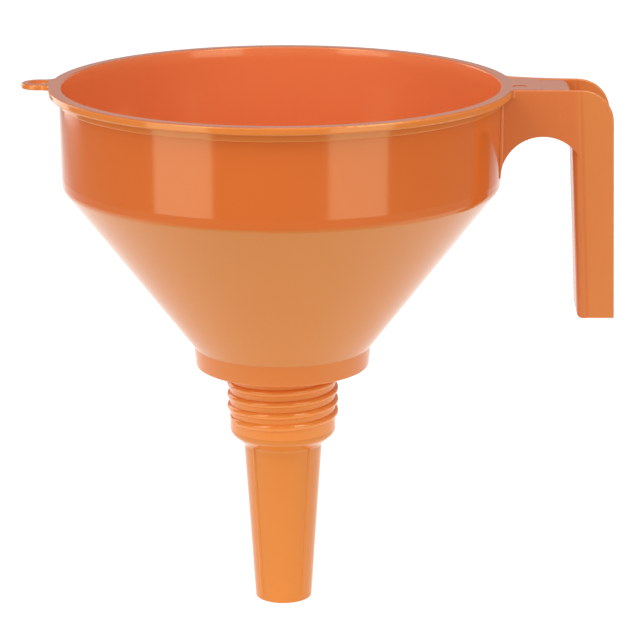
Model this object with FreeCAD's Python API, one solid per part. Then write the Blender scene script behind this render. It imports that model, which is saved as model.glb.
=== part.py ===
"""Hand-held filling funnel with a threaded neck, a ribbed spout and a lift-out strainer.

Millimetres, +Z up. The origin is the centre of the seat plane: the flat underside of the
collar, where it rests on a container's mouth. The handle points along +X, the eye along -X.
The funnel itself is one moulding; its regions are separate solids that meet face to face.
"""

import FreeCAD, Part

import math
import os

from FreeCAD import Vector

# Bowl
RIM_Z = 156.5                # top of the rim above the seat plane
RIM_R = 125.0
MOUTH_R = 118.2
MOUTH_ROUND = 1.2
MOUTH_FLARE_DEPTH = 5.2      # below the rim's top, where the flared mouth meets the plain wall
MOUTH_BLEND_RADIUS = 30.0    # blends the flare into the wall
LIP_HEIGHT = 4.0
LIP_WALL = 2.4
LIP_ROUND = 1.0
FLANGE_THICKNESS = 2.0
BAND_R = 120.1               # stiffening band just under the rim
BAND_BOTTOM_Z = RIM_Z - 8.2
WALL = 2.0
DRUM_TOP_R = 119.4
DRUM_BOTTOM_R = 118.9
DRUM_SPLIT_Z = RIM_Z - 48.5
CONE_TOP_R = 118.6
CONE_TOP_Z = RIM_Z - 54.0
CONE_CORNER_RADIUS = 5.0

# Collar that holds the strainer
COLLAR_TOP_R = 48.9
COLLAR_TOP_Z = 11.4
COLLAR_BOTTOM_R = 47.7
COLLAR_FLOOR = 2.2
RELIEF_R = 32.5              # groove around the neck, so that a mouth seats past the thread
RELIEF_DEPTH = 0.5

# Neck and thread
NECK_R = 29.3
NECK_WALL = 2.0
NECK_SPLIT_Z = -36.2
SHOULDER_TOP_Z = -37.3
SHOULDER_BOTTOM_Z = -45.3
THREAD_PITCH = 6.55
THREAD_HEIGHT = 1.6
THREAD_WIDTH = 3.9
THREAD_START_ANGLE = -180.0  # degrees about +Z, measured from the handle
THREAD_START_Z = -30.5
THREAD_TURNS = 3.75
THREAD_FADE_SHIFT = 2.8      # offset of the eccentric circle that fades the thread's ends

# Spout
SPOUT_TOP_R = 21.7
SPOUT_TIP_R = 15.7
SPOUT_WALL = 1.8
SPOUT_TIP_Z = -136.0
RIB_RADIUS = 1.2
RIB_PROUD = 0.8
RIB_TOP_Z = -44.0
RIB_BOTTOM_Z = -132.5
RIB_ANGLES = (45, 135, 225, 315)

# Handle: two side flanges joined by a top plate and a web
HANDLE_HALF_WIDTH = 18.5
HANDLE_WALL = 2.0
HANDLE_BOTTOM_Z = RIM_Z - 124.8
HANDLE_CORNER_RADIUS = 17.3
OUTER_EDGE_X = 177.3         # outer edge of the flanges at rim height
OUTER_EDGE_LEAN = 1.5        # degrees
ARCH_X = 140.5
ARCH_Z = RIM_Z - 47.5
ARCH_RADIUS = 22.5
ARCH_END_ANGLE = 21.5        # degrees above the horizontal, where the arch meets the grip
GRIP_LEAN = 2.8              # degrees
GRIP_CORNER_RADIUS = 5.0
GRIP_FOOT_RADIUS = 2.5
WEB_TOP_Z = RIM_Z - 8.0
BEND_RADIUS = 5.5
PLATE_STEP_X = 139.5
PLATE_STEP = 0.4
ROOT_BEAD_RADIUS = 1.8       # upright fillet between the drum and the flanges
ROOT_BEAD_FULLNESS = 0.7     # 1 is a true tangent arc, 0 a flat chamfer
FRONT_CORNER_RADIUS = 2.0    # plan fillet between the rim and the front flange
REAR_CORNER_RADIUS = 3.0     # plan fillet between the rim and the widened rear side
REAR_WIDENING_RADIUS = 110.0
REAR_WIDENING_END_X = 160.0
EJECTOR_MARK_X = 128.0
EJECTOR_MARK_Y = -6.5
EJECTOR_MARK_R = 4.0
EJECTOR_MARK_DEPTH = 0.25

# Hanging eye
EYE_X = -131.0
EYE_R = 9.5
EYE_HOLE_R = 5.4
EYE_THICKNESS = 3.0
EYE_FILLET_RADIUS = 5.0
EYE_TOP_ROUND = 1.4

# Lift-out strainer
STRAINER_R = 45.2
STRAINER_RING_WIDTH = 3.2
STRAINER_RING_HEIGHT = 4.0
GAUZE_R = 43.4
GAUZE_THICKNESS = 0.5
GAUZE_LIFT = 1.0             # underside of the gauze above the collar's floor
SPOKE_COUNT = 6
SPOKE_WIDTH = 2.0
SPOKE_HEIGHT = 2.0
HUB_R = 6.0
TAB_WIDTH = 15.0
TAB_HEIGHT = 13.0
TAB_THICKNESS = 2.6
TAB_RIDGE_R = 0.7
TAB_RIDGE_LENGTH = 9.0
TAB_RIDGE_HEIGHTS = (5.0, 7.5, 10.0)   # above the tab's foot

SMALL_ROUND = 0.6
EDGE_ROUND = 0.8             # along the handle's outer edges
OUTER_EDGE_REACH = 10.0      # edges centred nearer than this to the outer edge are rounded
CORE_R = DRUM_BOTTOM_R - WALL / 4    # runs inside the bowl's wall at every height of the handle
OVERRUN = 5.0                # how far a cutting tool runs past what it cuts
SUNK = 1.2                   # how far a joining piece starts inside its neighbour, before it is cut


def section_point(u, v):
    """A point in the X-Z plane."""
    return Vector(u, 0, v)


def plan_point(u, v):
    """A point in the X-Y plane."""
    return Vector(u, v, 0)


def rounded_face(corners, place=section_point):
    """A face inside corners (u, v) or (u, v, radius); a radius rounds its corner by an arc."""
    starts = []
    ends = []
    middles = []
    count = len(corners)
    for i, corner in enumerate(corners):
        here = place(corner[0], corner[1])
        radius = corner[2] if len(corner) > 2 else 0
        if not radius:
            starts.append(here)
            ends.append(here)
            middles.append(None)
            continue
        before = place(*corners[i - 1][:2]) - here
        after = place(*corners[(i + 1) % count][:2]) - here
        before.normalize()
        after.normalize()
        half = before.getAngle(after) / 2
        reach = radius / math.tan(half)
        bisector = before + after
        bisector.normalize()
        starts.append(here + before * reach)
        ends.append(here + after * reach)
        middles.append(here + bisector * (radius / math.sin(half) - radius))
    edges = []
    for i in range(count):
        if middles[i] is not None:
            edges.append(Part.Arc(starts[i], middles[i], ends[i]).toShape())
        following = starts[(i + 1) % count]
        if (following - ends[i]).Length > 1e-6:
            edges.append(Part.LineSegment(ends[i], following).toShape())
    return Part.Face(Part.Wire(edges))


def turned(corners):
    """A solid of revolution about Z from an outline of (radius, height) corners."""
    return rounded_face(corners).revolve(Vector(0, 0, 0), Vector(0, 0, 1), 360)


def slab(face, low_y, high_y):
    """An X-Z face made solid between two Y values."""
    moved = face.copy()
    moved.translate(Vector(0, low_y, 0))
    return moved.extrude(Vector(0, high_y - low_y, 0))


def box(x0, x1, y0, y1, z0, z1):
    return Part.makeBox(x1 - x0, y1 - y0, z1 - z0, Vector(x0, y0, z0))


def upright_cylinder(radius, low_z, high_z, x=0.0, y=0.0):
    return Part.makeCylinder(radius, high_z - low_z, Vector(x, y, low_z))


def cone_radius(z):
    """Outer radius of the bowl's cone."""
    share = (z - COLLAR_TOP_Z) / (CONE_TOP_Z - COLLAR_TOP_Z)
    return COLLAR_TOP_R + share * (CONE_TOP_R - COLLAR_TOP_R)


def drum_radius(z):
    """Outer radius of the bowl's drum."""
    share = (BAND_BOTTOM_Z - z) / (BAND_BOTTOM_Z - CONE_TOP_Z)
    return DRUM_TOP_R + share * (DRUM_BOTTOM_R - DRUM_TOP_R)


def spout_radius(z):
    """Outer radius of the tapered spout."""
    share = (SHOULDER_BOTTOM_Z - z) / (SHOULDER_BOTTOM_Z - SPOUT_TIP_Z)
    return SPOUT_TOP_R + share * (SPOUT_TIP_R - SPOUT_TOP_R)


def flat_start_x(z):
    """Where a side flange's flat face starts, on the bowl side of the grip."""
    end = math.radians(ARCH_END_ANGLE)
    start_x = ARCH_X + ARCH_RADIUS * math.cos(end)
    start_z = ARCH_Z + ARCH_RADIUS * math.sin(end)
    return start_x + (start_z - z) * math.tan(math.radians(GRIP_LEAN))


def web_x(z):
    """Bowl-side face of the grip's web."""
    return flat_start_x(z) - GRIP_CORNER_RADIUS


def outer_edge_x(z):
    """Outer edge of the side flanges."""
    return OUTER_EDGE_X + (RIM_Z - z) * math.tan(math.radians(OUTER_EDGE_LEAN))


def make_rim_flange():
    lip_inner = RIM_R - LIP_WALL
    under = RIM_Z - FLANGE_THICKNESS
    inner_wall = drum_radius(BAND_BOTTOM_Z) - WALL
    return turned([
        (MOUTH_R, RIM_Z, MOUTH_ROUND),
        (RIM_R, RIM_Z, LIP_ROUND),
        (RIM_R, RIM_Z - LIP_HEIGHT, LIP_ROUND),
        (lip_inner, RIM_Z - LIP_HEIGHT, SMALL_ROUND),
        (lip_inner, under, SMALL_ROUND),
        (BAND_R, under, SMALL_ROUND),
        (BAND_R, BAND_BOTTOM_Z, SMALL_ROUND),
        (inner_wall, BAND_BOTTOM_Z),
        (inner_wall, RIM_Z - MOUTH_FLARE_DEPTH, MOUTH_BLEND_RADIUS),
    ])


def make_bowl_drum():
    top = drum_radius(BAND_BOTTOM_Z)
    bottom = drum_radius(DRUM_SPLIT_Z)
    return turned([
        (top - WALL, BAND_BOTTOM_Z),
        (top, BAND_BOTTOM_Z),
        (bottom, DRUM_SPLIT_Z),
        (bottom - WALL, DRUM_SPLIT_Z),
    ])


def make_bowl_cone():
    slope = math.atan2(CONE_TOP_R - COLLAR_TOP_R, CONE_TOP_Z - COLLAR_TOP_Z)
    across = WALL / math.cos(slope)
    inner_corner_z = CONE_TOP_Z + WALL * math.tan(slope / 2)
    split_r = drum_radius(DRUM_SPLIT_Z)
    return turned([
        (split_r - WALL, DRUM_SPLIT_Z),
        (split_r, DRUM_SPLIT_Z),
        (CONE_TOP_R, CONE_TOP_Z, CONE_CORNER_RADIUS),
        (COLLAR_TOP_R, COLLAR_TOP_Z),
        (COLLAR_TOP_R - across, COLLAR_TOP_Z),
        (cone_radius(inner_corner_z) - across, inner_corner_z, CONE_CORNER_RADIUS - WALL),
    ])


def collar_inner_radius(z):
    """Inner wall of the collar, with the same draft as its outside."""
    slope = math.atan2(CONE_TOP_R - COLLAR_TOP_R, CONE_TOP_Z - COLLAR_TOP_Z)
    top = COLLAR_TOP_R - WALL / math.cos(slope)
    return top - (COLLAR_TOP_Z - z) * 0.04


def make_strainer_seat():
    return turned([
        (collar_inner_radius(COLLAR_TOP_Z), COLLAR_TOP_Z),
        (COLLAR_TOP_R, COLLAR_TOP_Z),
        (COLLAR_BOTTOM_R, 0, 1.0),
        (RELIEF_R, 0),
        (RELIEF_R, RELIEF_DEPTH),
        (NECK_R, RELIEF_DEPTH),
        (NECK_R, 0),
        (NECK_R - NECK_WALL, 0),
        (NECK_R - NECK_WALL, COLLAR_FLOOR, 1.0),
        (collar_inner_radius(COLLAR_FLOOR), COLLAR_FLOOR, 0.5),
    ])


def thread_fade(end_angle, toward, middle_z):
    """What is cut from the thread near one end, so that its crest runs down into the neck.

    toward is +1 where the thread goes on at larger angles, and -1 where it came from there.
    """
    lift = THREAD_PITCH / 4 * toward
    low = min(middle_z, middle_z + lift) - THREAD_WIDTH / 2 - 0.3
    high = max(middle_z, middle_z + lift) + THREAD_WIDTH / 2 + 0.3
    ring = upright_cylinder(NECK_R + OVERRUN, low, high)
    ring = ring.cut(upright_cylinder(NECK_R - NECK_WALL / 2, low - 1, high + 1))
    middle = math.radians(end_angle + 40 * toward)
    reach = NECK_R * 1.2
    wedge = Part.Face(Part.makePolygon([
        Vector(0, 0, low),
        Vector(2 * reach * math.cos(middle - math.radians(50)),
               2 * reach * math.sin(middle - math.radians(50)), low),
        Vector(2 * reach * math.cos(middle + math.radians(50)),
               2 * reach * math.sin(middle + math.radians(50)), low),
        Vector(0, 0, low),
    ])).extrude(Vector(0, 0, high - low))
    offset = math.radians(end_angle + 90 * toward)
    eccentric = upright_cylinder(NECK_R - 0.2, low - 1, high + 1,
                                 THREAD_FADE_SHIFT * math.cos(offset),
                                 THREAD_FADE_SHIFT * math.sin(offset))
    return ring.common(wedge).cut(eccentric)


def make_thread():
    """A right-hand half-round bead, sunk a little into the neck's wall."""
    half = THREAD_WIDTH / 2
    sunk = NECK_R - 0.5
    foot = NECK_R - 0.02
    profile = Part.Wire([
        Part.LineSegment(Vector(sunk, 0, -half), Vector(foot, 0, -half)).toShape(),
        Part.Arc(Vector(foot, 0, -half), Vector(NECK_R + THREAD_HEIGHT, 0, 0),
                 Vector(foot, 0, half)).toShape(),
        Part.LineSegment(Vector(foot, 0, half), Vector(sunk, 0, half)).toShape(),
        Part.LineSegment(Vector(sunk, 0, half), Vector(sunk, 0, -half)).toShape(),
    ])
    rise = THREAD_PITCH * THREAD_TURNS
    path = Part.makeHelix(THREAD_PITCH, rise, NECK_R)
    bead = path.makePipeShell([profile], True, True)
    bead.rotate(Vector(0, 0, 0), Vector(0, 0, 1), THREAD_START_ANGLE)
    bead.translate(Vector(0, 0, THREAD_START_Z))
    end_angle = THREAD_START_ANGLE + 360 * THREAD_TURNS
    bead = bead.cut(thread_fade(THREAD_START_ANGLE, 1, THREAD_START_Z))
    return bead.cut(thread_fade(end_angle, -1, THREAD_START_Z + rise))


def make_threaded_neck():
    tube = turned([
        (NECK_R - NECK_WALL, 0),
        (NECK_R, 0),
        (NECK_R, NECK_SPLIT_Z),
        (NECK_R - NECK_WALL, NECK_SPLIT_Z),
    ])
    return tube.fuse(make_thread()).removeSplitter()


def make_tapered_spout():
    inner_neck = NECK_R - NECK_WALL
    inner_top = SPOUT_TOP_R - SPOUT_WALL
    return turned([
        (inner_neck, NECK_SPLIT_Z),
        (NECK_R, NECK_SPLIT_Z),
        (NECK_R, SHOULDER_TOP_Z - 1.4, 5.0),
        (SPOUT_TOP_R, SHOULDER_BOTTOM_Z, 3.0),
        (SPOUT_TIP_R, SPOUT_TIP_Z, 0.5),
        (SPOUT_TIP_R - SPOUT_WALL, SPOUT_TIP_Z, 0.5),
        (inner_top, SHOULDER_BOTTOM_Z + 0.8, 2.5),
        (inner_neck, SHOULDER_TOP_Z - 0.6, 2.0),
    ])


def make_spout_ribs(spout):
    """Four half-round ribs along the spout, which keep an air gap in a container's mouth."""
    ribs = []
    sunk = RIB_PROUD - RIB_RADIUS
    top = Vector(spout_radius(RIB_TOP_Z) + sunk, 0, RIB_TOP_Z)
    bottom = Vector(spout_radius(RIB_BOTTOM_Z) + sunk, 0, RIB_BOTTOM_Z)
    along = bottom - top
    for angle in RIB_ANGLES:
        rib = Part.makeCylinder(RIB_RADIUS, along.Length, top, along)
        rib = rib.fuse(Part.makeSphere(RIB_RADIUS, bottom)).removeSplitter()
        rib.rotate(Vector(0, 0, 0), Vector(0, 0, 1), angle)
        ribs.append(max(rib.cut(spout).Solids, key=lambda solid: solid.Volume))
    return Part.makeCompound(ribs)


def finger_gap_face():
    """The gap between bowl and grip, seen from the side, out to the flanges' flat faces."""
    end = math.radians(ARCH_END_ANGLE)
    low = HANDLE_BOTTOM_Z - OVERRUN
    left = Vector(ARCH_X - ARCH_RADIUS, 0, ARCH_Z)
    crown = Vector(ARCH_X, 0, ARCH_Z + ARCH_RADIUS)
    right = Vector(ARCH_X + ARCH_RADIUS * math.cos(end), 0, ARCH_Z + ARCH_RADIUS * math.sin(end))
    foot = Vector(flat_start_x(low), 0, low)
    inside = Vector(ARCH_X - ARCH_RADIUS - 3 * OVERRUN, 0, low)
    inside_top = Vector(inside.x, 0, ARCH_Z)
    edges = [Part.Arc(left, crown, right).toShape()]
    for a, b in ((right, foot), (foot, inside), (inside, inside_top), (inside_top, left)):
        edges.append(Part.LineSegment(a, b).toShape())
    return Part.Face(Part.Wire(edges))


def middle_point(centre, radius, start, end):
    """The point of a circle half-way between two of its points."""
    toward = (start + end) * 0.5 - centre
    toward.normalize()
    return centre + toward * radius


def fillet_corner(round_r, fillet_radius):
    """Plan fillet between a round body and the flange's +Y face: its two ends and its middle."""
    reach = round_r + fillet_radius
    centre_y = HANDLE_HALF_WIDTH + fillet_radius
    centre = Vector(math.sqrt(reach ** 2 - centre_y ** 2), centre_y, 0)
    on_round = centre * (round_r / reach)
    on_side = Vector(centre.x, HANDLE_HALF_WIDTH, 0)
    return on_round, middle_point(centre, fillet_radius, on_round, on_side), on_side


def root_solid(curves, on_round, end, low_z, high_z):
    """What fills the corner between a round body and the flange's +Y face.

    The curves run in plan from the point end on that face to the point on_round. The solid
    reaches a little way into both bodies.
    """
    inner = on_round * (1 - SUNK / on_round.Length)
    side_y = HANDLE_HALF_WIDTH - HANDLE_WALL / 2
    inner_x = math.sqrt(inner.Length ** 2 - side_y ** 2)
    corners = [on_round, inner, Vector(inner_x, side_y, 0), Vector(end.x, side_y, 0), end]
    edges = list(curves)
    for a, b in zip(corners, corners[1:]):
        edges.append(Part.LineSegment(a, b).toShape())
    solid = Part.Face(Part.Wire(edges)).extrude(Vector(0, 0, high_z - low_z))
    solid.translate(Vector(0, 0, low_z))
    return solid


def make_front_wing():
    """The lip's small plan fillet against the flange."""
    on_rim, middle, on_side = fillet_corner(RIM_R, FRONT_CORNER_RADIUS)
    curve = Part.Arc(on_side, middle, on_rim).toShape()
    return root_solid([curve], on_rim, on_side, RIM_Z - LIP_HEIGHT, RIM_Z)


def make_rear_wing():
    """The lip carried along the rear side, which widens in one long curve towards the rim."""
    side_centre = Vector(REAR_WIDENING_END_X, HANDLE_HALF_WIDTH + REAR_WIDENING_RADIUS, 0)
    reach = RIM_R + REAR_CORNER_RADIUS
    side_reach = REAR_WIDENING_RADIUS - REAR_CORNER_RADIUS
    apart = side_centre.Length
    along = (reach ** 2 - side_reach ** 2 + apart ** 2) / (2 * apart)
    across = math.sqrt(reach ** 2 - along ** 2)
    outward = side_centre * (1 / apart)
    centre = outward * along + Vector(outward.y, -outward.x, 0) * across
    on_rim = centre * (RIM_R / reach)
    on_side = side_centre + (centre - side_centre) * (REAR_WIDENING_RADIUS / side_reach)
    end = Vector(REAR_WIDENING_END_X, HANDLE_HALF_WIDTH, 0)
    corner_middle = middle_point(centre, REAR_CORNER_RADIUS, on_rim, on_side)
    side_middle = middle_point(side_centre, REAR_WIDENING_RADIUS, on_side, end)
    curves = [
        Part.Arc(end, side_middle, on_side).toShape(),
        Part.Arc(on_side, corner_middle, on_rim).toShape(),
    ]
    return root_solid(curves, on_rim, end, RIM_Z - LIP_HEIGHT, RIM_Z)


def make_root_bead():
    """The upright fillet between the drum and the flange's outer face, above the arch."""
    on_drum, tangent_middle, on_side = fillet_corner(drum_radius(ARCH_Z), ROOT_BEAD_RADIUS)
    middle = tangent_middle * ROOT_BEAD_FULLNESS
    middle += (on_drum + on_side) * ((1 - ROOT_BEAD_FULLNESS) / 2)
    curve = Part.Arc(on_side, middle, on_drum).toShape()
    bead = root_solid([curve], on_drum, on_side, ARCH_Z, RIM_Z - LIP_HEIGHT / 2)
    return bead.cut(slab(finger_gap_face(), 0, HANDLE_HALF_WIDTH + 2 * OVERRUN))


def make_side_flange(wing, bowl_cutters):
    """A side flange on +Y, with the wing that ties its top to the rim's lip."""
    outline = rounded_face([
        (CORE_R - HANDLE_WALL, RIM_Z),
        (OUTER_EDGE_X, RIM_Z, HANDLE_CORNER_RADIUS),
        (outer_edge_x(HANDLE_BOTTOM_Z), HANDLE_BOTTOM_Z, SMALL_ROUND),
        (CORE_R - HANDLE_WALL, HANDLE_BOTTOM_Z),
    ])
    outline = max(outline.cut(finger_gap_face()).Faces, key=lambda face: face.Area)
    flange = slab(outline, HANDLE_HALF_WIDTH - HANDLE_WALL, HANDLE_HALF_WIDTH)
    rounded = []
    for edge in flange.Edges:
        middle = edge.BoundBox.Center
        beside_outer_edge = middle.x > outer_edge_x(middle.z) - OUTER_EDGE_REACH
        if beside_outer_edge and edge.BoundBox.YLength < HANDLE_WALL / 2:
            rounded.append(edge)
    flange = flange.makeFillet(EDGE_ROUND, rounded)
    flange = flange.fuse(wing).fuse(make_root_bead()).removeSplitter()
    for cutter in bowl_cutters:
        flange = flange.cut(cutter)
    return flange


def make_top_plate(rim):
    top = RIM_Z - PLATE_STEP
    inner_half = HANDLE_HALF_WIDTH - HANDLE_WALL
    face = rounded_face([
        (CORE_R - HANDLE_WALL, RIM_Z),
        (PLATE_STEP_X, RIM_Z),
        (PLATE_STEP_X + PLATE_STEP, top),
        (web_x(RIM_Z) + HANDLE_WALL, top, BEND_RADIUS),
        (web_x(WEB_TOP_Z) + HANDLE_WALL, WEB_TOP_Z),
        (web_x(WEB_TOP_Z), WEB_TOP_Z),
        (web_x(RIM_Z), top - HANDLE_WALL, BEND_RADIUS - HANDLE_WALL),
        (CORE_R - HANDLE_WALL, top - HANDLE_WALL),
    ])
    plate = slab(face, -inner_half, inner_half)
    mark = upright_cylinder(EJECTOR_MARK_R, RIM_Z - EJECTOR_MARK_DEPTH, RIM_Z + 1,
                            EJECTOR_MARK_X, EJECTOR_MARK_Y)
    plate = plate.cut(mark)
    inside_lip = upright_cylinder(RIM_R - LIP_WALL / 2, WEB_TOP_Z, RIM_Z + OVERRUN)
    return plate.cut(rim).cut(inside_lip)


def grip_block(inset):
    """The grip's rounded outside, moved inwards by inset, from its bottom to the web's top."""
    low = HANDLE_BOTTOM_Z - OVERRUN * (1 if inset else 0)
    half = HANDLE_HALF_WIDTH - inset
    radius = GRIP_CORNER_RADIUS - inset
    start = web_x(low) + inset
    stop = flat_start_x(low) + (OVERRUN if inset else 0)
    face = rounded_face([
        (stop, half), (start, half, radius), (start, -half, radius), (stop, -half),
    ], plan_point)
    face.translate(Vector(0, 0, low))
    lean = math.tan(math.radians(GRIP_LEAN))
    height = WEB_TOP_Z - low
    if inset:
        height += OVERRUN
    block = face.extrude(Vector(-height * lean, 0, height))
    foot_z = HANDLE_BOTTOM_Z + GRIP_FOOT_RADIUS
    foot_x = web_x(foot_z) + GRIP_FOOT_RADIUS
    span = HANDLE_HALF_WIDTH + OVERRUN
    corner = box(foot_x - GRIP_FOOT_RADIUS - OVERRUN, foot_x, -span, span,
                 foot_z - GRIP_FOOT_RADIUS - OVERRUN, foot_z)
    rounding = Part.makeCylinder(GRIP_FOOT_RADIUS - inset, 2 * span,
                                 Vector(foot_x, -span, foot_z), Vector(0, 1, 0))
    return block.cut(corner.cut(rounding))


def make_grip_web(flanges):
    web = grip_block(0).cut(grip_block(HANDLE_WALL))
    for flange in flanges:
        web = web.cut(flange)
    return web


def make_hanging_eye(rim):
    reach = RIM_R + EYE_FILLET_RADIUS
    away = EYE_R + EYE_FILLET_RADIUS
    centre = Vector(EYE_X, 0, 0)
    fillet_x = (reach ** 2 + EYE_X ** 2 - away ** 2) / (2 * EYE_X)
    fillet = Vector(fillet_x, math.sqrt(reach ** 2 - fillet_x ** 2), 0)
    on_rim = fillet * (RIM_R / reach)
    on_eye = centre + (fillet - centre) * (EYE_R / away)
    toward = (on_rim + on_eye) * 0.5 - fillet
    toward.normalize()
    between = fillet + toward * EYE_FILLET_RADIUS
    inner = on_rim * ((RIM_R - LIP_WALL / 2) / RIM_R)

    def mirrored(point):
        return Vector(point.x, -point.y, 0)

    tip = Vector(EYE_X - EYE_R, 0, 0)
    edges = [
        Part.Arc(on_rim, between, on_eye).toShape(),
        Part.Arc(on_eye, tip, mirrored(on_eye)).toShape(),
        Part.Arc(mirrored(on_eye), mirrored(between), mirrored(on_rim)).toShape(),
        Part.LineSegment(mirrored(on_rim), mirrored(inner)).toShape(),
        Part.LineSegment(mirrored(inner), inner).toShape(),
        Part.LineSegment(inner, on_rim).toShape(),
    ]
    tab = Part.Face(Part.Wire(edges)).extrude(Vector(0, 0, EYE_THICKNESS))
    tab.translate(Vector(0, 0, RIM_Z - EYE_THICKNESS))
    for height, radius in ((RIM_Z, EYE_TOP_ROUND), (RIM_Z - EYE_THICKNESS, SMALL_ROUND)):
        outline = [e for e in tab.Edges
                   if e.Curve.TypeId == "Part::GeomCircle"
                   and abs(e.BoundBox.ZMin - height) < 0.01 and abs(e.BoundBox.ZMax - height) < 0.01]
        tab = tab.makeFillet(radius, outline)
    tab = tab.cut(upright_cylinder(EYE_HOLE_R, 0, RIM_Z + 1, EYE_X))
    return tab.cut(rim)


def make_strainer_ring():
    """The strainer's outer ring, grooved inside for the edge of the gauze."""
    inner = STRAINER_R - STRAINER_RING_WIDTH
    groove_bottom = COLLAR_FLOOR + GAUZE_LIFT
    groove_top = groove_bottom + GAUZE_THICKNESS
    return turned([
        (inner, COLLAR_FLOOR, 0.4),
        (STRAINER_R, COLLAR_FLOOR, SMALL_ROUND),
        (STRAINER_R, COLLAR_FLOOR + STRAINER_RING_HEIGHT, 1.0),
        (inner, COLLAR_FLOOR + STRAINER_RING_HEIGHT, 1.0),
        (inner, groove_top),
        (GAUZE_R, groove_top),
        (GAUZE_R, groove_bottom),
        (inner, groove_bottom),
    ])


def make_strainer_gauze():
    bottom = COLLAR_FLOOR + GAUZE_LIFT
    return upright_cylinder(GAUZE_R, bottom, bottom + GAUZE_THICKNESS)


def make_strainer_spokes(ring):
    """Spokes and hub, which lie on the gauze and stiffen it."""
    bottom = COLLAR_FLOOR + GAUZE_LIFT + GAUZE_THICKNESS
    spider = upright_cylinder(HUB_R, bottom, bottom + SPOKE_HEIGHT)
    for i in range(SPOKE_COUNT):
        spoke = box(0, STRAINER_R - 1, -SPOKE_WIDTH / 2, SPOKE_WIDTH / 2,
                    bottom, bottom + SPOKE_HEIGHT)
        spoke.rotate(Vector(0, 0, 0), Vector(0, 0, 1), 360 / SPOKE_COUNT * (i + 0.5))
        spider = spider.fuse(spoke)
    return spider.removeSplitter().cut(ring)


def make_lift_tab():
    """An upright tab on the hub, ridged on both faces, by which the strainer is pulled out."""
    bottom = COLLAR_FLOOR + GAUZE_LIFT + GAUZE_THICKNESS + SPOKE_HEIGHT
    top = bottom + TAB_HEIGHT
    half = TAB_WIDTH / 2
    foot_half = HUB_R - 1.5
    face = rounded_face([
        (-foot_half, bottom), (foot_half, bottom), (half, bottom + 4.0, 2.0),
        (half, top, 5.0), (-half, top, 5.0), (-half, bottom + 4.0, 2.0),
    ])
    tab = slab(face, -TAB_THICKNESS / 2, TAB_THICKNESS / 2)
    rim = [e for e in tab.Edges if e.BoundBox.YLength < 0.1 and e.BoundBox.ZMin > bottom + 0.1]
    tab = tab.makeFillet(SMALL_ROUND, rim)
    for height in TAB_RIDGE_HEIGHTS:
        for y in (-TAB_THICKNESS / 2, TAB_THICKNESS / 2):
            ridge = Part.makeCylinder(TAB_RIDGE_R, TAB_RIDGE_LENGTH,
                                      Vector(-TAB_RIDGE_LENGTH / 2, y, bottom + height),
                                      Vector(1, 0, 0))
            tab = tab.fuse(ridge)
    return tab.removeSplitter()


def build():
    rim = make_rim_flange()
    drum = make_bowl_drum()
    core = upright_cylinder(CORE_R, ARCH_Z - ARCH_RADIUS, RIM_Z)
    above_rim = upright_cylinder(RIM_R - LIP_WALL / 2, RIM_Z - FLANGE_THICKNESS / 2,
                                 RIM_Z + OVERRUN)
    bowl_cutters = [rim, drum, core, above_rim]
    rear_flange = make_side_flange(make_rear_wing(), bowl_cutters)
    front_flange = make_side_flange(make_front_wing(), bowl_cutters)
    front_flange = front_flange.mirror(Vector(0, 0, 0), Vector(0, 1, 0))
    spout = make_tapered_spout()
    ring = make_strainer_ring()
    return {
        "rim_flange": rim,
        "bowl_drum": drum,
        "bowl_cone": make_bowl_cone(),
        "strainer_seat": make_strainer_seat(),
        "threaded_neck": make_threaded_neck(),
        "tapered_spout": spout,
        "spout_ribs": make_spout_ribs(spout),
        "handle_top_plate": make_top_plate(rim),
        "handle_front_flange": front_flange,
        "handle_rear_flange": rear_flange,
        "handle_grip_web": make_grip_web([front_flange, rear_flange]),
        "hanging_eye": make_hanging_eye(rim),
        "strainer_ring": ring,
        "strainer_gauze": make_strainer_gauze(),
        "strainer_spokes": make_strainer_spokes(ring),
        "strainer_lift_tab": make_lift_tab(),
    }


os.makedirs("parts", exist_ok=True)
for name, shape in build().items():
    if not shape.isValid():
        raise ValueError(f"{name} is not a valid shape")
    shape.exportStep(f"parts/{name}.step")
    print(f"{name}: {len(shape.Solids)} solid(s), {shape.Volume / 1000:.2f} cm3")
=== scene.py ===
"""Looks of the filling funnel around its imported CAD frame. Metres, +Z up, handle along +X."""

import math

import bmesh
import bpy
from mathutils import Matrix, Vector


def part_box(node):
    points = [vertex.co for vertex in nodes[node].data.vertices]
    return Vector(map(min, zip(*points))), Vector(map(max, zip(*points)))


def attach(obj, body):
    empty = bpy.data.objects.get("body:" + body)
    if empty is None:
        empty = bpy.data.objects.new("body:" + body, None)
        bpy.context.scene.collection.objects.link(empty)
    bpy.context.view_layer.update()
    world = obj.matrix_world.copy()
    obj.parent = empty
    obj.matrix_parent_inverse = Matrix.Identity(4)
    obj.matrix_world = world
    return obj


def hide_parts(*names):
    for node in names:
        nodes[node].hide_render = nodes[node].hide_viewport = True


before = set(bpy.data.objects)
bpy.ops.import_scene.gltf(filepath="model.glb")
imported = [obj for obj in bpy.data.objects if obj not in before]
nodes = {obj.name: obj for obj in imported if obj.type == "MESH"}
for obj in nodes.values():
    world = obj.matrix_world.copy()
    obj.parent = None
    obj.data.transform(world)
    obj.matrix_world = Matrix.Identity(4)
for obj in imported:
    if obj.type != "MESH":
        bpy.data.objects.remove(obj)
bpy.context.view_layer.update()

# Camera
CAMERA_PLACE = (0.0702, -1.4459, 0.4182)
CAMERA_HEADING = 1.96         # degrees from +Y towards -X
CAMERA_PITCH = 15.22          # degrees below the horizon
CAMERA_ROLL = -0.08           # degrees
CAMERA_LENS = 153.2           # mm
SENSOR_WIDTH = 36.0           # mm
CLIP_START = 0.05
CLIP_END = 60.0

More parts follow.
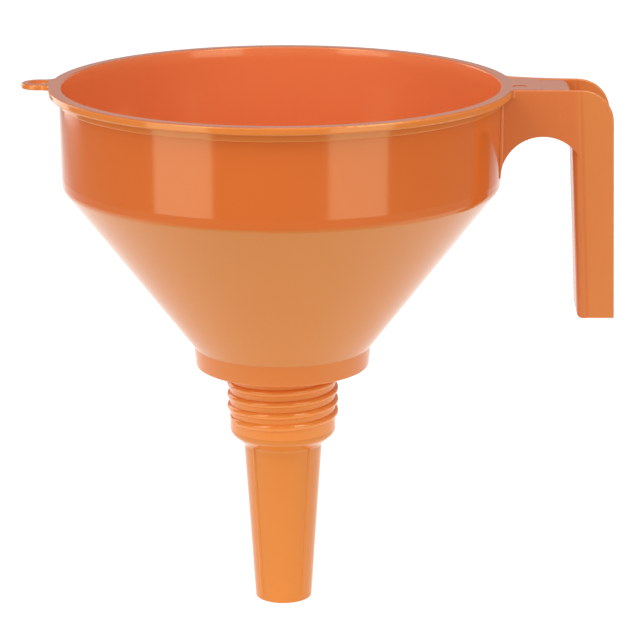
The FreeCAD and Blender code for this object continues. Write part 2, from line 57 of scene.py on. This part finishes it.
# Floor and surroundings
WORLD_STRENGTH = 0.3
FLOOR_HALF_SIZE = 12.0
FLOOR_GAP = 0.0005            # between the spout's tip and the floor
FLOOR_GREY = 0.30
FLOOR_ROUGHNESS = 0.9
FLOOR_GLOW = 0.97
FAR_FLOOR_GLOW = 0.12
GLOW_START_Y = -0.45
GLOW_FULL_Y = -0.12
GLOW_FULL_X = 0.50            # to either side
GLOW_END_X = 0.90

# Lights; azimuth 0 is in front (-Y), positive towards +X, all angles in degrees
LEFT_AZIMUTH = -46
RIGHT_AZIMUTH = 40
SOFTBOX_DISTANCE = 0.90
SOFTBOX_HEIGHT = 1.90
LEFT_WIDTH = 0.50
RIGHT_WIDTH = 0.48
LEFT_RADIANCE = 1.95
RIGHT_RADIANCE = 1.75
SIDE_AZIMUTH = -132
SIDE_DISTANCE = 1.40
SIDE_WIDTH = 0.60
SIDE_HEIGHT = 1.20
SIDE_RADIANCE = 2.00
LIGHT_CLEARANCE = 0.01        # between an upright light and the floor
HIGH_ELEVATION = 48.0
HIGH_DISTANCE = 1.5
HIGH_SIZE = 0.45
HIGH_RADIANCE = 4.0
OVERHEAD_PLACE = (0, -0.1, 1.6)
OVERHEAD_SIZE = 1.8
OVERHEAD_RADIANCE = 1.15
BACK_PLACE = (0, 1.8, 0.35)
BACK_WIDTH = 3.0
BACK_HEIGHT = 1.0
BACK_RADIANCE = 0.20

# Plastic colours, linear: light and deep
ORANGE = ((0.715, 0.150, 0.024), (0.697, 0.143, 0.021))
# Painted light: walls that face the axis, inside the bowl, are made lighter than the outside
INSIDE_PAINTED_LIGHT_ORANGE = ((0.830, 0.220, 0.075), (0.815, 0.212, 0.070))
LIP_ORANGE = ((0.775, 0.222, 0.040), (0.760, 0.213, 0.036))
# Painted shade: the rim's level top is made darker, as if less lit from above
RIM_TOP_PAINTED_SHADE = ((0.530, 0.130, 0.045), (0.515, 0.124, 0.041))
COLLAR_ORANGE = ((0.745, 0.195, 0.036), (0.730, 0.187, 0.033))
# Painted light: the cone's downward-facing outside is made lighter and yellower, as if brightly lit
CONE_PAINTED_LIGHT_ORANGE = ((0.670, 0.192, 0.018), (0.655, 0.184, 0.016))
# Painted light: the neck is made lighter to make up for the collar's shade on it
NECK_PAINTED_LIGHT_ORANGE = ((0.830, 0.250, 0.045), (0.815, 0.240, 0.041))
SPOUT_ORANGE = ((0.710, 0.200, 0.022), (0.695, 0.192, 0.019))
HANDLE_ORANGE = ((0.705, 0.213, 0.055), (0.690, 0.204, 0.051))
# Painted shade: the grip's upward-facing top plate is made darker, like the rim's top
PLATE_PAINTED_SHADE_ORANGE = ((0.570, 0.130, 0.040), (0.555, 0.124, 0.036))
# Painted shade on the bowl side of the grip's web, with a painted highlight line and a painted dark
# line
CHANNEL_PAINTED_SHADE_ORANGE = ((0.690, 0.170, 0.045), (0.675, 0.162, 0.041))
WEB_LEAN = 0.0489             # the grip's web leans this much in X per Z
WEB_BAND = (0.1635, 0.1705)   # X + lean * Z across the strip along the web
NATURAL = ((0.82, 0.79, 0.71), (0.77, 0.74, 0.66))
GLOSS_TINT = (0.94, 1.0, 0.64)
PLASTIC_IOR = 1.6

# Plastic roughness, low and high
BOWL_GLOSS = (0.105, 0.135)
SMALL_PART_GLOSS = (0.11, 0.14)
HANDLE_SATIN = (0.20, 0.26)
NATURAL_SATIN = (0.30, 0.40)
RUBBED_ROUGHNESS = 0.07       # added in the rubbed spots

# Plastic texture: scales per metre, heights in metres
CLOUD_SCALE = 11.0
GLOSS_SCALE = 26.0
RUB_SCALE = 190.0
WAVE_SCALE = 12.0
WAVE_HEIGHT = 0.0001
GRAIN_SCALE = 1300.0
GRAIN_HEIGHT = 0.0000012

# Woven gauze of the strainer, metres
MESH_PITCH = 0.0018
WIRE_RADIUS = 0.000125
WIRE_TINT_SCALE = 120.0       # per metre
WIRE_GLOSS_SCALE = 400.0
WIRE_SCRATCH_SCALE = 3000.0
WIRE_SCRATCH_HEIGHT = 0.000004


def new_material(name):
    material = bpy.data.materials.new(name)
    material.use_nodes = True
    tree = material.node_tree
    return material, tree, tree.nodes["Principled BSDF"]


def add_node(tree, kind, **values):
    """Adds a shader node and sets its inputs by name."""
    node = tree.nodes.new(kind)
    for name, value in values.items():
        node.inputs[name.replace("_", " ")].default_value = value
    return node


def noise(tree, coordinates, scale, detail=2.0, roughness=0.5):
    node = add_node(tree, "ShaderNodeTexNoise", Scale=scale, Detail=detail, Roughness=roughness)
    tree.links.new(coordinates, node.inputs["Vector"])
    return node.outputs["Fac"]


def ramp(tree, value, stops):
    """A colour ramp with (position, colour) stops."""
    node = tree.nodes.new("ShaderNodeValToRGB")
    elements = node.color_ramp.elements
    while len(elements) < len(stops):
        elements.new(0.5)
    for element, (position, colour) in zip(elements, stops):
        element.position = position
        element.color = (*colour, 1.0)
    tree.links.new(value, node.inputs["Fac"])
    return node.outputs["Color"]


def grey(value):
    return (value, value, value)


def total(tree, first, second):
    node = tree.nodes.new("ShaderNodeMath")
    tree.links.new(first, node.inputs[0])
    tree.links.new(second, node.inputs[1])
    return node.outputs["Value"]


def bump(tree, height, distance, below=None):
    node = add_node(tree, "ShaderNodeBump", Strength=1.0, Distance=distance)
    tree.links.new(height, node.inputs["Height"])
    if below is not None:
        tree.links.new(below, node.inputs["Normal"])
    return node.outputs["Normal"]


def facing_axis(tree):
    """1 on surfaces that face the funnel's axis, 0 on those that face away from it. It places the
    painted light inside the bowl.
    """
    place = tree.nodes.new("ShaderNodeTexCoord")
    flat = tree.nodes.new("ShaderNodeVectorMath")
    flat.operation = "MULTIPLY"
    flat.inputs[1].default_value = (1, 1, 0)
    tree.links.new(place.outputs["Object"], flat.inputs[0])
    outward = tree.nodes.new("ShaderNodeVectorMath")
    outward.operation = "NORMALIZE"
    tree.links.new(flat.outputs["Vector"], outward.inputs[0])
    along = tree.nodes.new("ShaderNodeVectorMath")
    along.operation = "DOT_PRODUCT"
    tree.links.new(outward.outputs["Vector"], along.inputs[0])
    tree.links.new(place.outputs["Normal"], along.inputs[1])
    spread = add_node(tree, "ShaderNodeMapRange", From_Min=0.1, From_Max=-0.3)
    tree.links.new(along.outputs["Value"], spread.inputs["Value"])
    return spread.outputs["Result"]


def turned_up(tree, none, full):
    """A mask by the upward part of the surface's normal: 0 where it is none, 1 where it is full."""
    turn = tree.nodes.new("ShaderNodeTexCoord").outputs["Normal"]
    parts = tree.nodes.new("ShaderNodeSeparateXYZ")
    tree.links.new(turn, parts.inputs["Vector"])
    spread = add_node(tree, "ShaderNodeMapRange", From_Min=none, From_Max=full)
    tree.links.new(parts.outputs["Z"], spread.inputs["Value"])
    return spread.outputs["Result"]


def facing_up(tree):
    """1 on level tops, 0 on upright walls. It places the painted shade on the rim's top."""
    return turned_up(tree, 0.5, 0.9)


def facing_down(tree):
    """1 on the cone's outside, 0 on upright walls. It places the painted light on the cone's
    outside.
    """
    return turned_up(tree, -0.2, -0.5)


def channel_painted_shade(tree):
    """Painted shade on the bowl side of the grip's web: 1 there, 0 beyond it, with a dip for a
    painted highlight line and a rise for a painted dark line along the web.
    """
    place = tree.nodes.new("ShaderNodeTexCoord").outputs["Object"]
    parts = tree.nodes.new("ShaderNodeSeparateXYZ")
    tree.links.new(place, parts.inputs["Vector"])
    lean = tree.nodes.new("ShaderNodeMath")
    lean.operation = "MULTIPLY_ADD"
    lean.inputs[1].default_value = WEB_LEAN
    tree.links.new(parts.outputs["Z"], lean.inputs[0])
    tree.links.new(parts.outputs["X"], lean.inputs[2])
    spread = add_node(tree, "ShaderNodeMapRange", From_Min=WEB_BAND[0], From_Max=WEB_BAND[1])
    tree.links.new(lean.outputs["Value"], spread.inputs["Value"])
    return ramp(tree, spread.outputs["Result"],
                [(0.00, grey(0.85)), (0.25, grey(0.60)), (0.40, grey(0.10)), (0.60, grey(1.0)),
                 (0.80, grey(0.05)), (1.00, grey(0.0))])


def cloudy(tree, coordinates, pair):
    """A colour that drifts softly between the light and the deep one of a pair."""
    light, deep = pair
    return ramp(tree, noise(tree, coordinates, CLOUD_SCALE, 1.0), [(0.25, deep), (0.75, light)])


def moulded_plastic(name, colours, roughness, *painted_light_layers):
    """Glossy moulded plastic: cloudy colour, uneven gloss with rubbed spots, faint waves, grain.

    Colours are pairs, light and deep. Each layer is painted light or shade: such a pair and the
    mask where it shows.
    """
    material, tree, shader = new_material(name)
    coordinates = tree.nodes.new("ShaderNodeTexCoord").outputs["Object"]
    colour = cloudy(tree, coordinates, colours)
    for pair, mask in painted_light_layers:
        over = cloudy(tree, coordinates, pair)
        mix = tree.nodes.new("ShaderNodeMix")
        mix.data_type = "RGBA"
        tree.links.new(mask(tree), mix.inputs["Factor"])
        tree.links.new(colour, mix.inputs[6])
        tree.links.new(over, mix.inputs[7])
        colour = mix.outputs[2]
    tree.links.new(colour, shader.inputs["Base Color"])
    low, high = roughness
    gloss = ramp(tree, noise(tree, coordinates, GLOSS_SCALE, 1.5),
                 [(0.25, grey(low)), (0.75, grey(high))])
    rubbed = ramp(tree, noise(tree, coordinates, RUB_SCALE, 4.0, 0.65),
                  [(0.62, grey(0.0)), (0.80, grey(RUBBED_ROUGHNESS))])
    tree.links.new(total(tree, gloss, rubbed), shader.inputs["Roughness"])
    waves = bump(tree, noise(tree, coordinates, WAVE_SCALE, 0.0), WAVE_HEIGHT)
    grain = bump(tree, noise(tree, coordinates, GRAIN_SCALE, 1.0), GRAIN_HEIGHT, waves)
    tree.links.new(grain, shader.inputs["Normal"])
    shader.inputs["IOR"].default_value = PLASTIC_IOR
    shader.inputs["Specular Tint"].default_value = (*GLOSS_TINT, 1)
    return material


def steel_wire():
    """Bright drawn wire with uneven gloss and fine scratches."""
    material, tree, shader = new_material("steel_wire")
    coordinates = tree.nodes.new("ShaderNodeTexCoord").outputs["Object"]
    tint = ramp(tree, noise(tree, coordinates, WIRE_TINT_SCALE),
                [(0.3, grey(0.50)), (0.7, grey(0.68))])
    tree.links.new(tint, shader.inputs["Base Color"])
    rough = ramp(tree, noise(tree, coordinates, WIRE_GLOSS_SCALE),
                 [(0.3, grey(0.25)), (0.7, grey(0.42))])
    tree.links.new(rough, shader.inputs["Roughness"])
    scratches = noise(tree, coordinates, WIRE_SCRATCH_SCALE)
    tree.links.new(bump(tree, scratches, WIRE_SCRATCH_HEIGHT), shader.inputs["Normal"])
    shader.inputs["Metallic"].default_value = 1.0
    return material


def finish_node(node, material):
    slots = nodes[node].data.materials
    slots.clear()
    slots.append(material)


def wire_strand(build, offset, half_length, along_x, phase, middle_z):
    """One zigzag wire of the weave: a four-sided tube that rises and dips at the crossings."""
    first = math.ceil(-half_length / MESH_PITCH - 0.5)
    last = math.floor(half_length / MESH_PITCH - 0.5)
    stations = [-half_length]
    stations += [(i + 0.5) * MESH_PITCH for i in range(first, last + 1)]
    stations.append(half_length)
    rings = []
    for s in stations:
        crossing = math.floor(s / MESH_PITCH)
        lift = WIRE_RADIUS if (crossing + phase) % 2 else -WIRE_RADIUS
        ring = []
        for side, up in ((1, 0), (0, 1), (-1, 0), (0, -1)):
            across = offset + side * WIRE_RADIUS
            z = middle_z + lift + up * WIRE_RADIUS
            ring.append(build.verts.new((s, across, z) if along_x else (across, s, z)))
        rings.append(ring)
    for a, b in zip(rings, rings[1:]):
        for k in range(4):
            build.faces.new((a[k], a[(k + 1) % 4], b[(k + 1) % 4], b[k]))
    build.faces.new(rings[0])
    build.faces.new(rings[-1][::-1])


def make_gauze(material):
    """Plain-woven wire cloth in place of the gauze's solid disc."""
    low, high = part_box("strainer_gauze")
    radius = (high.x - low.x) / 2 - WIRE_RADIUS
    middle_z = (low.z + high.z) / 2
    build = bmesh.new()
    count = int(radius / MESH_PITCH)
    for i in range(-count, count):
        offset = (i + 0.5) * MESH_PITCH
        half_length = math.sqrt(radius ** 2 - offset ** 2)
        wire_strand(build, offset, half_length, True, i, middle_z)
        wire_strand(build, offset, half_length, False, i + 1, middle_z)
    bmesh.ops.recalc_face_normals(build, faces=build.faces)
    mesh = bpy.data.meshes.new("woven_gauze")
    build.to_mesh(mesh)
    build.free()
    mesh.materials.append(material)
    gauze = bpy.data.objects.new("woven_gauze", mesh)
    bpy.context.scene.collection.objects.link(gauze)
    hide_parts("strainer_gauze")
    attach(gauze, "strainer")


def make_camera():
    data = bpy.data.cameras.new("camera")
    data.lens = CAMERA_LENS
    data.sensor_width = SENSOR_WIDTH
    data.clip_start = CLIP_START
    data.clip_end = CLIP_END
    camera = bpy.data.objects.new("camera", data)
    bpy.context.scene.collection.objects.link(camera)
    heading = math.radians(CAMERA_HEADING)
    pitch = math.radians(CAMERA_PITCH)
    forward = Vector((-math.sin(heading) * math.cos(pitch),
                      math.cos(heading) * math.cos(pitch), -math.sin(pitch)))
    turn = forward.to_track_quat("-Z", "Y").to_matrix().to_4x4()
    camera.matrix_world = (Matrix.Translation(CAMERA_PLACE) @ turn
                           @ Matrix.Rotation(math.radians(CAMERA_ROLL), 4, "Z"))
    bpy.context.scene.camera = camera


def make_light(name, place, facing, width, height, radiance):
    """A rectangular area light of the given radiance, facing along a direction."""
    data = bpy.data.lights.new(name, "AREA")
    data.shape = "RECTANGLE"
    data.size = width
    data.size_y = height
    data.energy = radiance * math.pi * width * height
    light = bpy.data.objects.new(name, data)
    bpy.context.scene.collection.objects.link(light)
    light.location = place
    light.rotation_mode = "QUATERNION"
    light.rotation_quaternion = facing.to_track_quat("-Z", "Y")
    light.visible_camera = False


def make_softbox(name, azimuth, distance, width, height, bottom, radiance):
    """An upright softbox facing the axis, with its lower edge at bottom."""
    a = math.radians(azimuth)
    out = Vector((math.sin(a), -math.cos(a), 0))
    place = out * distance + Vector((0, 0, bottom + height / 2))
    make_light(name, place, -out, width, height, radiance)


def make_high_light(name, azimuth):
    """A small light above a softbox, facing the origin."""
    a = math.radians(azimuth)
    e = math.radians(HIGH_ELEVATION)
    out = Vector((math.sin(a) * math.cos(e), -math.cos(a) * math.cos(e), math.sin(e)))
    make_light(name, out * HIGH_DISTANCE, -out, HIGH_SIZE, HIGH_SIZE, HIGH_RADIANCE)


def make_floor(level):
    """A pale floor that glows under and behind the funnel."""
    mesh = bpy.data.meshes.new("floor")
    build = bmesh.new()
    bmesh.ops.create_grid(build, x_segments=1, y_segments=1, size=FLOOR_HALF_SIZE)
    build.to_mesh(mesh)
    build.free()
    floor = bpy.data.objects.new("floor", mesh)
    floor.location.z = level
    bpy.context.scene.collection.objects.link(floor)
    material, tree, shader = new_material("floor")
    shader.inputs["Base Color"].default_value = (*grey(FLOOR_GREY), 1)
    shader.inputs["Roughness"].default_value = FLOOR_ROUGHNESS
    shader.inputs["Specular IOR Level"].default_value = 0.0
    shader.inputs["Emission Color"].default_value = (1, 1, 1, 1)
    place = tree.nodes.new("ShaderNodeTexCoord").outputs["Object"]
    parts = tree.nodes.new("ShaderNodeSeparateXYZ")
    tree.links.new(place, parts.inputs["Vector"])
    behind = add_node(tree, "ShaderNodeMapRange", From_Min=GLOW_START_Y, From_Max=GLOW_FULL_Y)
    tree.links.new(parts.outputs["Y"], behind.inputs["Value"])
    aside = tree.nodes.new("ShaderNodeMath")
    aside.operation = "ABSOLUTE"
    tree.links.new(parts.outputs["X"], aside.inputs[0])
    between = add_node(tree, "ShaderNodeMapRange", From_Min=GLOW_END_X, From_Max=GLOW_FULL_X)
    tree.links.new(aside.outputs["Value"], between.inputs["Value"])
    lit = tree.nodes.new("ShaderNodeMath")
    lit.operation = "MULTIPLY"
    tree.links.new(behind.outputs["Result"], lit.inputs[0])
    tree.links.new(between.outputs["Result"], lit.inputs[1])
    glow = add_node(tree, "ShaderNodeMapRange", To_Min=FAR_FLOOR_GLOW, To_Max=FLOOR_GLOW)
    tree.links.new(lit.outputs["Value"], glow.inputs["Value"])
    tree.links.new(glow.outputs["Result"], shader.inputs["Emission Strength"])
    mesh.materials.append(material)


def make_world():
    world = bpy.data.worlds.new("studio")
    world.use_nodes = True
    background = world.node_tree.nodes["Background"]
    background.inputs["Color"].default_value = (1, 1, 1, 1)
    background.inputs["Strength"].default_value = WORLD_STRENGTH
    bpy.context.scene.world = world


make_camera()
make_world()
floor_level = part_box("tapered_spout")[0].z - FLOOR_GAP
light_bottom = floor_level + LIGHT_CLEARANCE
make_floor(floor_level)
make_softbox("softbox_left", LEFT_AZIMUTH, SOFTBOX_DISTANCE, LEFT_WIDTH, SOFTBOX_HEIGHT,
             light_bottom, LEFT_RADIANCE)
make_softbox("softbox_right", RIGHT_AZIMUTH, SOFTBOX_DISTANCE, RIGHT_WIDTH, SOFTBOX_HEIGHT,
             light_bottom, RIGHT_RADIANCE)
make_light("overhead", Vector(OVERHEAD_PLACE), Vector((0, 0, -1)),
           OVERHEAD_SIZE, OVERHEAD_SIZE, OVERHEAD_RADIANCE)
make_high_light("high_left", LEFT_AZIMUTH)
make_high_light("high_right", RIGHT_AZIMUTH)
make_softbox("side_panel", SIDE_AZIMUTH, SIDE_DISTANCE, SIDE_WIDTH, SIDE_HEIGHT,
             light_bottom, SIDE_RADIANCE)
make_light("back_panel", Vector(BACK_PLACE), Vector((0, -1, 0)),
           BACK_WIDTH, BACK_HEIGHT, BACK_RADIANCE)
bpy.context.scene.view_settings.view_transform = "Standard"

# The bowl's inward walls carry painted light
orange = moulded_plastic("orange_plastic", ORANGE, BOWL_GLOSS,
                         (INSIDE_PAINTED_LIGHT_ORANGE, facing_axis))
# Painted shade on the rim's level top, and painted light on its inward wall
rim_orange = moulded_plastic("rim_orange_plastic", LIP_ORANGE, BOWL_GLOSS,
                             (INSIDE_PAINTED_LIGHT_ORANGE, facing_axis), (RIM_TOP_PAINTED_SHADE, facing_up))
# Painted light on the cone's downward outside and on its inward wall
cone_orange = moulded_plastic("cone_orange_plastic", ORANGE, BOWL_GLOSS,
                              (CONE_PAINTED_LIGHT_ORANGE, facing_down), (INSIDE_PAINTED_LIGHT_ORANGE, facing_axis))
collar_orange = moulded_plastic("collar_orange_plastic", COLLAR_ORANGE, SMALL_PART_GLOSS)
# The neck's material is painted light
neck_painted_light = moulded_plastic("neck_orange_plastic", NECK_PAINTED_LIGHT_ORANGE, SMALL_PART_GLOSS)
spout_orange = moulded_plastic("spout_orange_plastic", SPOUT_ORANGE, SMALL_PART_GLOSS)
# The grip's web carries painted shade and painted lines
handle_orange = moulded_plastic("handle_orange_plastic", HANDLE_ORANGE, HANDLE_SATIN,
                                (CHANNEL_PAINTED_SHADE_ORANGE, channel_painted_shade))
# The top plate's material is painted shade
plate_painted_shade = moulded_plastic("plate_orange_plastic", PLATE_PAINTED_SHADE_ORANGE, SMALL_PART_GLOSS)
natural = moulded_plastic("natural_plastic", NATURAL, NATURAL_SATIN)
wire = steel_wire()
finishes = {
    "rim_flange": rim_orange,
    "bowl_drum": orange,
    "bowl_cone": cone_orange,
    "strainer_seat": collar_orange,
    "threaded_neck": neck_painted_light,
    "tapered_spout": spout_orange,
    "spout_ribs": spout_orange,
    "handle_front_flange": handle_orange,
    "handle_rear_flange": handle_orange,
    "handle_top_plate": plate_painted_shade,
    "handle_grip_web": handle_orange,
    "hanging_eye": rim_orange,
    "strainer_ring": natural,
    "strainer_gauze": wire,
    "strainer_spokes": natural,
    "strainer_lift_tab": natural,
}
for node, material in finishes.items():
    finish_node(node, material)
make_gauze(wire)
